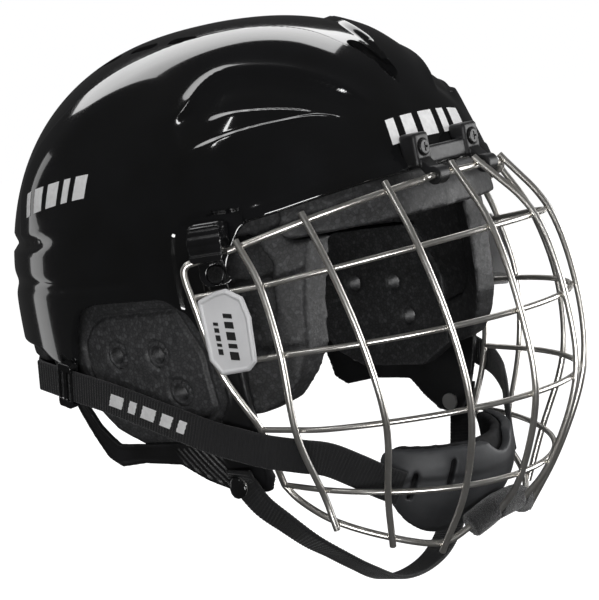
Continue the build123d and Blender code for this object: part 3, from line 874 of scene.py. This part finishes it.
# ======================================================================
# foam linings
# ======================================================================
# the ear foam's outline in the side view, as (y, z)
EAR_OUTLINE = [(-35, 16), (20, 16), (33, 10), (43, -2), (43.5, -20), (36, -36), (26, -47), (10, -55),
               (-30, -56), (-49.5, -45), (-49.5, -12)]
EAR_HOLES = ((12.0, -12.0), (-14.0, -13.0), (-22.0, -31.0))   # (y, z) of the sound holes


def outer_face(points, normals):
    """How much a point belongs to the outer, dome-facing face of a lining: 1 there, 0 elsewhere."""
    return smoothstep(np.einsum("ij,ij->i", normals, dome_normals(points)), 0.55, 0.85)


def ear_relief(points, normals):
    """The ear foam's raised border, the groove inside it, its lower middle and its sound holes.

    The face sinks toward each hole, and the hole's own wall comes inward, which narrows it.
    """
    far = outline_distance(points[:, 1:], rounded_outline(EAR_OUTLINE, 5.0))
    groove = 2.2 * bell(far - 9.5, 1.4)
    middle = 0.6 * smoothstep(far, 10.5, 13.0)
    from_hole = np.min([np.hypot(points[:, 1] - y, points[:, 2] - z) for y, z in EAR_HOLES], axis=0)
    outer = outer_face(points, normals)
    funnel = (1 - smoothstep(from_hole, 5.5, 8.0)) * 1.2
    necking = (1 - smoothstep(from_hole, 5.6, 6.2)) * (np.abs(normals[:, 0]) < 0.6)
    return outer * (0.3 * smoothstep(far, 0, 3) - groove - middle - funnel) + necking


# the thin web of foam between the temple strut and the ear foam, in the side view
WEB_OUTLINE = [(-79, 36), (-32, 36), (-32, -30), (-56, -30), (-68, -22), (-77, -14), (-79, 4)]
WEB_INSET = 14.5           # how far the web lies inside the dome
WEB_WALL = 2.0
WEB_GRID = 1.5             # size of the web's squares


def foam_web(side, material):
    """A thin foam web that closes the space behind the temple strut."""
    y, z = np.meshgrid(np.arange(-80, -30, WEB_GRID), np.arange(-32, 38, WEB_GRID), indexing="ij")
    far = outline_distance(np.column_stack((y.ravel(), z.ravel())), np.array(WEB_OUTLINE, float))
    inside = (far > 0).reshape(y.shape)
    mirror = 1 if side == "left" else -1
    points = []
    faces = []
    rows, columns = y.shape
    for inset in (WEB_INSET, WEB_INSET + WEB_WALL):
        width = dome_width(y, z, inset) * mirror
        points.append(np.stack((width, y, z), axis=-1).reshape(-1, 3))
    layer = rows * columns

    def filled(i, j):
        return 0 <= i < rows - 1 and 0 <= j < columns - 1 and inside[i:i + 2, j:j + 2].all()

    for i in range(rows - 1):
        for j in range(columns - 1):
            if not filled(i, j):
                continue
            low = i * columns + j
            corners = [low, low + columns, low + columns + 1, low + 1]
            faces.append(corners[::mirror])
            faces.append([layer + c for c in corners][::-mirror])
            beside = ((i, j - 1), (i + 1, j), (i, j + 1), (i - 1, j))
            for k, (ni, nj) in enumerate(beside):
                if not filled(ni, nj):
                    a, b = corners[k], corners[(k + 1) % 4]
                    faces.append([b, a, layer + a, layer + b][::mirror])
    points = np.vstack(points)
    used = np.unique(np.concatenate([np.array(f) for f in faces]))
    order = np.full(len(points), -1)
    order[used] = np.arange(len(used))
    faces = [[int(order[c]) for c in face] for face in faces]
    body = body_of_node(f"temple_foam_{side}")
    add_piece(f"temple_web_{side}", points[used], faces, material, body, "foam")


def build_linings(foam, ear_foam, pad):
    for node in ("brow_foam", "crown_foam", "rear_foam"):
        moulded(node, foam, "foam")
    for side in SIDES:
        moulded(f"temple_foam_{side}", foam, "foam")
        moulded(f"side_foam_{side}", foam, "foam")
        foam_web(side, foam)
        moulded(f"ear_foam_{side}", ear_foam, "foam", ear_relief)
    moulded("nape_pad", pad, "pad_foam")
    moulded("chin_pad", pad, "pad_foam")


# ======================================================================
# plastics, cage and metal
# ======================================================================
# the ear loop's outline in the side view, as (y, z)
LOOP_OUTLINE = [(-61, -5), (-58, -50), (-54, -74), (-49, -81), (-34, -79.5), (-22, -73), (-11, -64.5),
                (12, -63.5), (30, -65.5), (38, -61), (50, -32), (60, -14), (60, -1), (48, -1), (45, -26),
                (35, -45), (26, -54), (-20, -54), (-40, -48), (-49, -36), (-50, -5)]
CLIP_MIDDLE = (-60.0, 28.0)      # (y, z) of each side clip
PLATE_MIDDLE = (-64.0, -3.0)     # (y, z) of each label plate
SLIDER_SHARE = 0.2         # the slider's place from the cup strap's second point back to its first


def loop_relief(points, normals):
    """The ear loop's raised border, and the grip ribs across its lower front end."""
    far = outline_distance(points[:, 1:], rounded_outline(LOOP_OUTLINE, 2.5))
    border = -0.5 * smoothstep(far, 1.6, 2.4)
    at_end = smoothstep(-points[:, 1], 8, 14) * (1 - smoothstep(-points[:, 1], 34, 38))
    ribs = 0.45 * np.cos(2 * math.pi * (points[:, 1] - 0.5 * points[:, 2]) / 3.2) * at_end
    return outer_face(points, normals) * (border + ribs * smoothstep(far, 1.0, 2.0))


def side_frame(middle):
    """A frame on the dome's left side: its origin and its rearward, up and outward axes."""
    y, z = middle
    origin = np.array((float(dome_width(y, z)), y, z))
    normal = dome_normals(origin)
    across = np.cross((0, 0, 1), normal)
    across /= np.linalg.norm(across)
    return origin, across, np.cross(normal, across), normal


def in_side_frame(points, middle):
    """Points of either side, mirrored to the left one, in the frame that stands there."""
    origin, *axes = side_frame(middle)
    off = points.copy()
    off[:, 0] = np.abs(off[:, 0])
    return (off - origin) @ np.column_stack(axes)


def clip_relief(points, normals):
    """The rolled cover of the side clip: lengthwise ridges on its outer face."""
    local = in_side_frame(points, CLIP_MIDDLE)
    on_top = smoothstep(local[:, 2], 3.0, 6.0)
    on_hook = smoothstep(local[:, 1], 0.0, 2.0)
    barrel = -0.035 * (local[:, 1] - 6.0) ** 2
    ridges = 0.35 * np.abs(np.sin(math.pi * (local[:, 1] - 0.4) / 4.3)) - 0.2
    return on_top * on_hook * np.maximum(barrel + ridges, -2.2)


# the label plate's outline in its own frame, as (rearward, up)
PLATE_OUTLINE = [(11.0, 14.0), (2.0, 17.0), (-3.0, 17.5), (-10.0, 13.0), (-12.0, 4.0), (-11.0, -15.0),
                 (-7.0, -18.5), (6.0, -19.0), (10.5, -12.0)]


def plate_relief(points, normals):
    """The label plate's sunk field inside a raised border."""
    local = in_side_frame(points, PLATE_MIDDLE)
    far = outline_distance(local[:, :2], np.array(PLATE_OUTLINE))
    outer = smoothstep(local[:, 2], 9.0, 9.5)
    return outer * (0.3 - 0.45 * smoothstep(far, 1.6, 2.3) - 0.7 * smoothstep(-far, -1.2, 0.2))


def slider_relief(points, normals):
    """The slider's bars lie further off the webbing, so that it slides freely on the curved strap."""
    rear, front = np.array(CUP_STRAP[:2])
    middle = front * (1 - SLIDER_SHARE) + rear * SLIDER_SHARE
    facing = dome_facing(middle)
    facing /= np.linalg.norm(facing)
    mirror = np.sign(points[:, :1]) * (1, 0, 0) + (0, 1, 1)
    off = (points * mirror - middle) @ facing
    turned = (normals * mirror) @ facing
    return np.where(turned * np.sign(off) < 0, -0.35, 0.25) * smoothstep(np.abs(turned), 0.4, 0.8)


def build_plastics(satin, gloss, label):
    for side in SIDES:
        moulded(f"ear_loop_{side}", satin, "loop_plastic", loop_relief)
        moulded(f"side_clip_{side}", gloss, "clip_plastic", clip_relief)
        moulded(f"label_plate_{side}", label, "plate_grey", plate_relief)
        moulded(f"strap_slider_{side}", gloss, "clip_plastic", slider_relief)
    moulded("nape_cradle", satin, "loop_plastic")
    moulded("forehead_clip", satin, "clip_plastic")


def build_metals(steel, screws, rivets):
    for node in frame["nodes"]:
        if "_wire" in node:
            repaint(node, steel)
    repaint("forehead_screws", screws)
    repaint("side_clip_screws", screws)
    repaint("strap_rivets", rivets)


WELD_RADIUS = 1.15         # of a weld bead, across it
WELD_LENGTH = 1.5          # from a weld bead's middle to its end
BEAD_RINGS = 8
BEAD_TURNS = 14


def crossing(tree, other):
    """The middle of where one wire's mesh cuts into another's, or None where they are apart."""
    hits = []
    points = [v.co for v in other.vertices]
    for edge in other.edges:
        a, b = (points[k] for k in edge.vertices)
        length = (b - a).length
        if length > 1e-6:
            hit = tree.ray_cast(a, (b - a) / length, length)[0]
            if hit is not None:
                hits.append(hit)
    return sum(hits, Vector()) / len(hits) if hits else None


def bead(centre, along, radius, length):
    """Points and faces of a weld bead: a slightly lumpy ellipsoid lying along a direction."""
    along = Vector(along).normalized()
    across = along.orthogonal().normalized()
    third = along.cross(across)
    points = []
    for i in range(BEAD_RINGS + 1):
        tilt = math.pi * i / BEAD_RINGS
        for j in range(BEAD_TURNS):
            turn = 2 * math.pi * j / BEAD_TURNS
            uneven = 1 + 0.06 * math.sin(3 * turn + centre[2]) + 0.05 * math.sin(5 * tilt + centre[0])
            flat = (across * math.cos(turn) + third * math.sin(turn)) * (math.sin(tilt) * (radius * uneven))
            points.append(tuple(Vector(centre) + flat + along * (math.cos(tilt) * length)))
    faces = []
    for i in range(BEAD_RINGS):
        faces += strip(i * BEAD_TURNS, (i + 1) * BEAD_TURNS, BEAD_TURNS)
    return points, faces


def build_welds(material):
    """A small resistance weld wherever an upright crosses another wire of the cage."""
    uprights = [node for node in frame["nodes"] if node.startswith("upright_wire")]
    others = [node for node in frame["nodes"] if "_wire" in node and node not in uprights]
    points = []
    faces = []
    for upright in uprights:
        tree = BVHTree.FromObject(frame["nodes"][upright], bpy.context.evaluated_depsgraph_get())
        for other in others:
            centre = crossing(tree, frame["nodes"][other].data)
            if centre is not None:
                along = (centre.y, -centre.x, 0)
                join_part(points, faces, bead(centre / MM, along, WELD_RADIUS, WELD_LENGTH))
    add_piece("cage_welds", points, faces, material, body_of_node("brow_wire"), "cage_wire")


# ======================================================================
# chin cup and sling
# ======================================================================
def build_cup(rubber, fabric):
    """The cup with its valley between two lobes and its vents, and the sling of brushed fabric.

    The valley and each vent are slots: middle, way in, way along, length, width and half depth.
    """
    valley = ((6, -112, -66), (0, -1, 0.1), (0.1, 0, 1), 36, 22, 30)
    vents = []
    for side in (-1, 1):
        for x, y, z in ((34, -97, -89), (22, -110, -86)):
            vents.append(((side * x, y, z), (side * 0.6, -0.8, 0), (side * 0.35, 0.2, -1), 13, 2.4, 8))
    moulded("chin_cup", rubber, "cup_rubber", cutters=[cutter_of("cup_cutter", [valley] + vents)])
    rng = np.random.default_rng(7)

    def nap(points, normals):
        """The fabric's depth and its tangled surface."""
        return 1.2 + rng.uniform(-0.12, 0.25, len(points))

    moulded("chin_sling", fabric, "sling_fabric", nap)


# ======================================================================
# webbing
# ======================================================================
WEBBING_WIDTH = 15.0
WEBBING_THICK = 1.6
RIB_STEP = 1.6             # from one rib to the next
RIB_DEPTH = 0.15           # half the depth of the dip between two ribs
WEBBING_STEP = 0.4         # from one row of the webbing's points to the next
ROUTE_STEPS = 24           # points of a route's smooth curve to each span
EDGE_TURNS = np.linspace(0.5, 2.6, 5)      # where points lie round the webbing's rolled edge
CUP_STRAP = [(99.6, 58.0, -16.7), (100.2, 34.0, -23.5), (100.2, 14.0, -29.1), (99.2, -2.0, -34.8),
             (97.5, -25.0, -43.5), (95.0, -42.5, -50.5), (91.5, -54.0, -54.8), (87.0, -64.0, -59.0),
             (77.0, -75.0, -64.0), (68.0, -82.0, -68.0), (58.5, -88.5, -75.5), (50.5, -94.0, -82.5),
             (43.5, -99.0, -88.0)]
SNAP_X = 82.2              # the rivets that the chin strap hangs from
SNAP_Y = -44.0
SNAP_Z = -75.0
CHIN_STRAP = [(-85.4, SNAP_Y, -68.0), (-82.4, SNAP_Y, SNAP_Z), (-80.5, -50.0, -85.0), (-76.5, -58.0, -94.0),
              (-70.0, -65.0, -104.0), (-60.0, -69.0, -113.0), (-44.0, -68.5, -124.0), (-20.0, -63.0, -136.5),
              (10.0, -55.0, -142.5), (36.0, -50.0, -140.0), (57.0, -47.0, -127.0), (71.0, -45.0, -107.0),
              (79.0, -44.0, -88.0), (82.4, SNAP_Y, SNAP_Z), (85.4, SNAP_Y, -68.0)]


def dome_facing(point):
    """Outward from the dome's side, level with the ground."""
    return np.array((point[0] / HALF_AXES[0] ** 2, point[1] / HALF_AXES[1] ** 2, 0.0))


def chin_facing(point):
    """Outward across the chin strap: sideways at its ends and down in its middle."""
    return np.array((point[0], 0.0, 1.4 * (point[2] + 70.0) - 6.0))


def webbing_line(route):
    """Even points along the webbing's middle, and the unit direction at each."""
    line = even_steps(catmull_rom(route, ROUTE_STEPS), WEBBING_STEP)
    return line, unit_tangents(line)


def cup_strap_route(side):
    return np.array(CUP_STRAP) * (1 if side == "left" else (-1, 1, 1))


def webbing_section():
    """The webbing's section going round it once: (across, through, share of the rib's depth)."""
    half_width = WEBBING_WIDTH / 2
    half_thick = WEBBING_THICK / 2
    across = half_width - half_thick
    ring = [(x, half_thick, 1.0) for x in np.linspace(across, -across, 12)]
    ring += [(-across - half_thick * math.sin(a), half_thick * math.cos(a), 0.6) for a in EDGE_TURNS]
    ring += [(x, -half_thick, 1.0) for x in np.linspace(-across, across, 12)]
    ring += [(across + half_thick * math.sin(a), -half_thick * math.cos(a), 0.6) for a in EDGE_TURNS]
    return np.array(ring)


def build_webbing(name, node, route, facing, material):
    """Ribbed webbing along a route: ribs run across it, and both edges are rolled."""
    line, tangents = webbing_line(route)
    section = webbing_section()
    count = len(section)
    points = []
    for k, (here, along) in enumerate(zip(line, tangents)):
        normal = squared_to(facing(here), along)
        sideways = np.cross(along, normal)
        rib = RIB_DEPTH * math.cos(2 * math.pi * k * WEBBING_STEP / RIB_STEP) - RIB_DEPTH
        for x, n, share in section:
            thin = n + math.copysign(rib * share, n)
            points.append(here + sideways * x + normal * thin)
    faces = []
    for k in range(len(line) - 1):
        faces += strip(k * count, (k + 1) * count, count)
    faces.append(tuple(range(count - 1, -1, -1)))
    faces.append(tuple((len(line) - 1) * count + j for j in range(count)))
    piece = add_piece(name, points, faces, material, body_of_node(node), "webbing")
    layer = piece.data.uv_layers.new(name="webbing")
    corners = np.empty(len(piece.data.loops), dtype=np.int64)
    piece.data.loops.foreach_get("vertex_index", corners)
    uv = np.column_stack((corners // count * WEBBING_STEP, section[corners % count, 0]))
    layer.data.foreach_set("uv", uv.ravel())
    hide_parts(node)


def build_straps(material):
    for side in SIDES:
        route = cup_strap_route(side)
        build_webbing(f"cup_strap_webbing_{side}", f"cup_strap_{side}", route, dome_facing, material)
    build_webbing("chin_strap_webbing", "chin_strap", CHIN_STRAP, chin_facing, material)


# ======================================================================
# markings: rows of plain slanted bars, and the caps over the strap rivets
# ======================================================================
BAR_LIFT = 0.14            # how far a printed bar stands over the shell
STRAP_BAR_LIFT = 0.3       # and over the strap's ribs
PLATE_BAR_LIFT = 0.05      # and over a label plate
PLATE_BAR_DROP = 3.0       # how far a label's rows sit along the plate from its middle
# each row on a label plate: how far forward of its middle, its length and its height
LABEL_ROWS = ((1.8, 20, 4.0), (-4.2, 14, 2.2))
BAR_GAP = 0.45             # between two bars, as a share of the widest
BAR_STEPS = 9              # points along and up each bar
PLATE_TOP = 9.7            # the label plate's outer face stands this far off the dome
BAR_SHARES = (1.0, 0.55, 1.0, 0.8, 0.55)   # each bar's width as a share of the widest
CAP_OUT = 5.4              # the cap's middle lies this far out from where the strap is riveted
CAP_RADIUS = 4.9
CAP_LENGTH = 1.3           # from the cap's middle to its outer face


def bar_cells(length, height, slant):
    """Each bar's grid of flat points, along the row and up it."""
    widest = length / (sum(BAR_SHARES) + BAR_GAP * (len(BAR_SHARES) - 1))
    start = -length / 2
    for share in BAR_SHARES:
        across = np.linspace(start, start + widest * share, BAR_STEPS)
        up = np.linspace(-height / 2, height / 2, BAR_STEPS)
        u, v = np.meshgrid(across, up, indexing="ij")
        yield u + slant * v, v
        start += widest * (share + BAR_GAP)


def printed_bars(name, length, height, slant, place, material, body, slot):
    """A row of bars, each laid on a surface by place(u, v)."""
    points = []
    faces = []
    for u, v in bar_cells(length, height, slant):
        faces += sheet_faces(*u.shape, len(points))
        points += list(place(u.ravel(), v.ravel()))
    return add_piece(name, points, faces, material, body, slot)


def on_shell(centre, along, side):
    """Lays flat places on the shell's outside round a point."""
    centre = on_dome(np.array(centre) * (side, 1, 1))
    normal = dome_normals(centre)
    along = squared_to(np.array(along) * (side, 1, 1) * -side, normal)
    up = np.cross(normal, along)

    def place(u, v):
        points = on_dome(centre + np.outer(u, along) + np.outer(v, up))
        lift = shell_relief(points) + BAR_LIFT
        return points + dome_normals(points) * lift[:, None]

    return place


def on_webbing(route, middle_share):
    """Lays flat places on the outer face of a cup strap, round a place along it."""
    line, tangents = webbing_line(route)
    middle = middle_share * len(line)

    def place(u, v):
        k = np.clip((middle + u / WEBBING_STEP).round().astype(int), 0, len(line) - 1)
        out = []
        for index, across in zip(k, v):
            normal = squared_to(dome_facing(line[index]), tangents[index])
            sideways = np.cross(normal, tangents[index])
            sideways *= np.sign(sideways[2])
            out.append(line[index] + sideways * across + normal * (WEBBING_THICK / 2 + STRAP_BAR_LIFT))
        return out

    return place


def on_plate(offset, side):
    """Lays flat places on a label plate, reading upward, offset forward of its middle."""
    origin, across, up, normal = side_frame(PLATE_MIDDLE)
    base = origin + normal * (PLATE_TOP + PLATE_BAR_LIFT)

    def place(u, v):
        points = base + np.outer(v - offset, across) + np.outer(u - PLATE_BAR_DROP, up)
        return points * (side, 1, 1)

    return place


def build_markings(ink, dark_ink, gloss):
    for side, sign in zip(SIDES, (1, -1)):
        place = on_shell((84, 34, 61), (0.3, 1, 0.05), sign)
        printed_bars(f"side_marking_{side}", 50, 11, 0.25, place, ink, body_of_node("shell"), "plate_grey")
        place = on_webbing(cup_strap_route(side), 0.36)
        printed_bars(f"strap_marking_{side}", 44, 6.0, 0.2, place, ink,
                     body_of_node(f"cup_strap_{side}"), "plate_grey")
        cap = bead((sign * (SNAP_X + CAP_OUT), SNAP_Y, SNAP_Z), (1, 0, 0), CAP_RADIUS, CAP_LENGTH)
        add_piece(f"rivet_cap_{side}", *cap, gloss, body_of_node("strap_rivets"), "clip_plastic")
        for row, (offset, length, height) in enumerate(LABEL_ROWS, 1):
            place = on_plate(offset, sign)
            printed_bars(f"label_marking_{side}_{row}", length, height, 0.2, place, dark_ink,
                         body_of_node(f"label_plate_{side}"), "plate_grey")
    place = on_shell((3, -113, 66), (1, 0, 0), 1)
    printed_bars("forehead_marking", 56, 12, 0.25, place, ink, body_of_node("shell"), "plate_grey")


# ======================================================================
# assembly
# ======================================================================
bpy.context.scene.view_settings.view_transform = "Standard"
make_camera()
make_room()
build_shell(gloss_shell())
build_linings(bead_foam("grey_bead_foam", (0.030, 0.030, 0.031), (0.080, 0.081, 0.084)),
              bead_foam("pale_bead_foam", (0.050, 0.050, 0.052), (0.115, 0.117, 0.120)), soft_pad_foam())
fittings = gloss_plastic()
build_plastics(satin_plastic(), fittings, label_plastic())
build_metals(cage_steel(), black_screw_metal(), polished_metal())
build_welds(weld_metal())
build_cup(cup_rubber(), loop_fabric())
build_straps(webbing_fabric())
build_markings(marking_ink("white_marking_ink", 0.88), marking_ink("black_marking_ink", 0.02), fittings)

bpy.context.view_layer.update()
